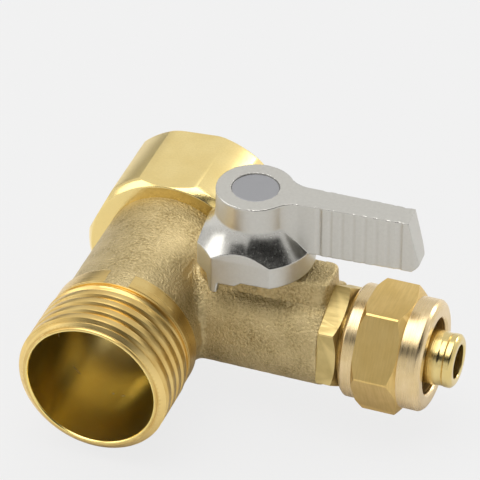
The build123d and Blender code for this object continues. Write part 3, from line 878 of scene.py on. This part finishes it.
# %% Join, hollow and melt the lever
lever = cut(cut(hub, blade, "UNION"), teeth, "UNION")
hollow, recess, screw_hole = ((SKIRT_LOW_Z - 0.01, 13.0, 5.7), (17.5, HUB_TOP_Z + 1, RECESS_R),
                              (12.9, 18.0, 2.05))
for low, high, radius in (hollow, recess, screw_hole):
    lever = cut(lever, turned(AXIS_Z, [(low, 0), (low, radius), (high, radius), (high, 0)], 96))
lever = recast(lever, 0.11, 2)
bmesh.ops.recalc_face_normals(lever, faces=lever.faces)
lever.normal_update()
NEAR_LEVEL, LEVEL_SLOPE = 0.08, 0.6
for vert in lever.verts:
    fall = max(0.0, vert.co.x - RECESS_R) / (REACH - 1.6 - RECESS_R)
    for height in (SKIRT_LOW_Z, BLADE_LOW_Z, HUB_TOP_Z - (HUB_TOP_Z - BLADE_TOP_Z) * fall):
        if abs(vert.co.z - height) < NEAR_LEVEL and abs(vert.normal.z) > LEVEL_SLOPE:
            vert.co.z = height
show("plated_lever", stand_at_stem(lever), "handle", satin_plate, ["handle"], 60)


# %% [markdown]
# The cap is a pressed disc, a hair lower in its middle, just below the rim of the hub.

# %% Cap in the hub
CAP_R, CAP_SKIRT_R = 3.165, 2.87
cap = turned(AXIS_Z, [
    (21.06, 0), (21.12, 3.0, 0.05), (21.08, CAP_R, 0.04), (19.33, CAP_R),
    (19.33, CAP_SKIRT_R), (20.2, CAP_SKIRT_R), (20.2, 0),
])
show("hub_cap", stand_at_stem(cap), "handle", grey_cap, ["handle_cap"])

# %% [markdown]
# ## End connector and nut
# Both are turned from bar. The round parts are clean lathe shapes, and only the hexagons are
# separate rings cut from a hexagonal bar, with their corners chamfered by a turned outline.

# %% Connector: shank, nose and nipple
FLANGE_START_X, FLANGE_END_X, NIPPLE_END_X = 26.0, 28.6, 43.7
SHANK_R, NOSE_R, NIPPLE_R, NIPPLE_WAY_R = 5.8, 6.2, 3.68, 2.34
connector = turned(AXIS_X, [
    (20.55, BRANCH_WAY_R), (20.55, SHANK_R, 0.1), (24.7, SHANK_R), (24.7, 5.0),
    (FLANGE_START_X, 5.0), (FLANGE_START_X, 6.0), (28.5, 6.0), (FLANGE_END_X, 5.6),
    (29.5, 5.6), (29.5, NOSE_R, 0.1), (35.4, NOSE_R, 0.1), (36.3, 4.6, 0.1),
    (36.3, NIPPLE_R, 0.05), (41.5, NIPPLE_R, 0.06), (41.7, 3.61, 0.06), (42.3, 3.61, 0.06),
    (42.5, NIPPLE_R, 0.06), (43.25, NIPPLE_R, 0.12), (NIPPLE_END_X, 3.2, 0.2),
    (NIPPLE_END_X, 2.45, 0.1), (43.55, NIPPLE_WAY_R), (28.0, NIPPLE_WAY_R),
    (FLANGE_START_X, BRANCH_WAY_R),
])
show("connector_and_nipple", connector, "valve_body", nipple_brass,
     ["end_connector"])

# %% Connector flange
FLANGE_TURN, FLANGE_FLATS, FLANGE_R = radians(24.7), 13.3, 7.66
flange = hexagon_bar(AXIS_X, FLANGE_START_X, FLANGE_END_X, FLANGE_FLATS, FLANGE_TURN, 0.08)
flange_outline = turned(AXIS_X, [
    (FLANGE_START_X, 5.4), (FLANGE_START_X, 7.5, 0.1), (26.15, FLANGE_R, 0.1),
    (28.1, FLANGE_R, 0.1), (FLANGE_END_X, 6.75, 0.1), (FLANGE_END_X, 5.4),
])
flange = cut(flange, flange_outline, "INTERSECT")
show("connector_flange", flange, "valve_body", flange_brass, ["end_connector"])

# %% Compression nut collars
NUT_WAY_R, NUT_HOLE_R, BACK_COLLAR_R, FRONT_COLLAR_R, NUT_END_X = 6.24, 5.2, 7.75, 7.6, 40.4
nut_body = turned(AXIS_X, [
    (29.2, NUT_WAY_R), (29.2, 7.3, 0.08), (29.65, BACK_COLLAR_R, 0.12), (31.3, BACK_COLLAR_R),
    (31.5, 7.3), (37.1, 7.3), (37.3, FRONT_COLLAR_R), (39.72, FRONT_COLLAR_R, 0.12),
    (40.15, 7.25, 0.1), (NUT_END_X, 6.75, 0.2), (NUT_END_X, 5.5, 0.08),
    (40.1, NUT_HOLE_R, 0.08), (37.8, NUT_HOLE_R), (36.2, NUT_WAY_R),
])
show("nut_collars", nut_body, "compression_nut", bright_brass, ["compression_nut"])

# %% Compression nut hexagon
NUT_TURN, NUT_FLATS, NUT_CORNER_R, NUT_HEX_END_X = radians(57.9), 15.5, 8.9, 37.35
nut_hex = hexagon_bar(AXIS_X, 31.25, NUT_HEX_END_X, NUT_FLATS, NUT_TURN, 0.17, 1)
nut_outline = turned(AXIS_X, [
    (31.0, 6.5), (31.0, 7.7, 0.05), (32.0, NUT_CORNER_R, 0.1), (36.4, NUT_CORNER_R, 0.1),
    (NUT_HEX_END_X, 7.6, 0.1), (NUT_HEX_END_X, 6.5),
])
nut_hex = cut(nut_hex, nut_outline, "INTERSECT")
show("nut_hexagon", nut_hex, "compression_nut", nut_brass, ["compression_nut"])


# %% [markdown]
# ## Inner pieces
# Ball, seats, stem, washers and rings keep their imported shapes. Each gets the finish of what it is
# made of, with its own small relief, for anyone who opens the model up.


# %% Finishes of the inner pieces
def plain_finish(name, colour, rough, metallic, scale, depth):
    material, tree, shader, place = start_material(name, rough, metallic, colour)
    speckle = noise_node(tree, place, scale)
    tree.links.new(colour_mix(tree, speckle, scaled(colour, 0.9), colour),
                   shader.inputs["Base Color"])
    tree.links.new(ramp_between(tree, speckle, 0.3, 0.7, rough - 0.05, rough + 0.08),
                   shader.inputs["Roughness"])
    bump(tree, shader, speckle, 0.6, depth)
    return material


stem_brass = turned_metal("turned_stem_brass", 2, (0.86, 0.70, 0.40), (0.78, 0.62, 0.32), 0.25,
                          8000.0, 0.000008)
ball_plate = plain_finish("polished_ball_plate", (0.80, 0.80, 0.81), 0.12, 1.0, 900.0, 0.000002)
seat_plastic = plain_finish("waxy_seat_plastic", (0.90, 0.90, 0.87), 0.42, 0.0, 1500.0, 0.000005)
seal_rubber = plain_finish("moulded_seal_rubber", (0.03, 0.03, 0.032), 0.6, 0.0, 2500.0, 0.00001)
zinc_steel = plain_finish("zinc_plated_steel", (0.68, 0.70, 0.72), 0.3, 1.0, 1800.0, 0.000006)
carried = {
    "ball": ball_plate, "stem": stem_brass, "inner_seat": seat_plastic,
    "outer_seat": seat_plastic, "stem_thrust_washer": seat_plastic,
    "lower_stem_o_ring": seal_rubber, "upper_stem_o_ring": seal_rubber,
    "connector_o_ring": seal_rubber, "female_port_gasket": seal_rubber,
    "handle_screw": zinc_steel, "screw_spring_washer": zinc_steel,
}
for name, finish in carried.items():
    for place in nodes[name].material_slots:
        place.material = finish
print("carried over", len(carried))

# %% [markdown]
# ## Floor and light
# A plain pale floor and an even pale room. A large soft lamp hangs above, a smaller one stands at
# the left and one behind at the right. Polished brass needs something dark to look like brass, so
# three dark cards stand out of the camera's sight and put dark bands between the bright ones.

# %% Floor
PALE_GREY, SEEN_GREY, SEEN_GLOW, FLOOR_SIZE = 0.8, 0.06, 0.8, 4.0


def matt(name, grey):
    material = bpy.data.materials.new(name)
    material.use_nodes = True
    shader = material.node_tree.nodes["Principled BSDF"]
    shader.inputs["Base Color"].default_value = (grey, grey, grey, 1)
    shader.inputs["Roughness"].default_value = 0.9
    shader.inputs["Specular IOR Level"].default_value = 0.1
    return material, material.node_tree, shader


def pale_floor_material():
    """Pale in reflections; seen directly it is mostly an even grey with part of its shadows."""
    material, tree, shader = matt("pale_floor", PALE_GREY)
    seen = tree.nodes.new("ShaderNodeLightPath").outputs["Is Camera Ray"]
    tree.links.new(colour_mix(tree, seen, (PALE_GREY,) * 3, (SEEN_GREY,) * 3),
                   shader.inputs["Base Color"])
    shader.inputs["Emission Color"].default_value = (1, 1, 1, 1)
    tree.links.new(math_node(tree, "MULTIPLY", seen, SEEN_GLOW), shader.inputs["Emission Strength"])
    return material


floor_shape = bmesh.new()
bmesh.ops.create_grid(floor_shape, x_segments=1, y_segments=1, size=FLOOR_SIZE)
floor = as_object(floor_shape, "pale_floor")
floor.location.z = FLOOR_Z * MM
floor.data.materials.append(pale_floor_material())

# %% Pale room
world = bpy.data.worlds.new("pale_room")
scene.world = world
world.use_nodes = True
room = world.node_tree.nodes["Background"]
room.inputs["Color"].default_value = (0.92, 0.92, 0.92, 1)
room.inputs["Strength"].default_value = 0.86


# %% Lamps and dark cards
LAMP_TARGET = Vector((0.01, 0, 0))


def soft_lamp(name, place, size, power):
    light = bpy.data.lights.new(name, "AREA")
    light.shape, light.size, light.size_y, light.energy = "RECTANGLE", size[0], size[1], power
    lamp = bpy.data.objects.new(name, light)
    lamp.location = place
    lamp.rotation_euler = (LAMP_TARGET - Vector(place)).to_track_quat("-Z", "Y").to_euler()
    scene.collection.objects.link(lamp)


soft_lamp("overhead_lamp", (-0.1, -0.08, 0.92), (0.9, 0.75), 4.9)
soft_lamp("left_lamp", (-0.8, -0.25, 0.45), (0.5, 0.6), 1.4)
soft_lamp("rear_lamp", (0.6, 0.9, 0.45), (0.4, 0.35), 2.9)


def dark_card(name, azimuth, elevation, distance, size):
    """A dark card that faces the valve, azimuth measured from the camera's side."""
    a, e = radians(azimuth) + AZIMUTH, radians(elevation)
    place = Vector((sin(a) * cos(e), -cos(a) * cos(e), sin(e))) * distance
    shape = bmesh.new()
    bmesh.ops.create_grid(shape, x_segments=1, y_segments=1, size=0.5)
    bmesh.ops.scale(shape, vec=(size[0], size[1], 1), verts=shape.verts)
    card = as_object(shape, name)
    card.location = place
    card.rotation_euler = place.to_track_quat("Z", "Y").to_euler()
    card.data.materials.append(matt(name, 0.012)[0])


dark_card("dark_card", 25.0, 40.0, 1.1, (1.7, 1.0))
dark_card("narrow_card", -42.0, 36.0, 1.1, (0.6, 0.4))
dark_card("rear_card", -159.0, 3.0, 1.2, (0.9, 0.4))

# %% [markdown]
# ## Finish
# The standard view transform shows colours as they are written.

# %% View transform
scene.view_settings.view_transform = "Standard"
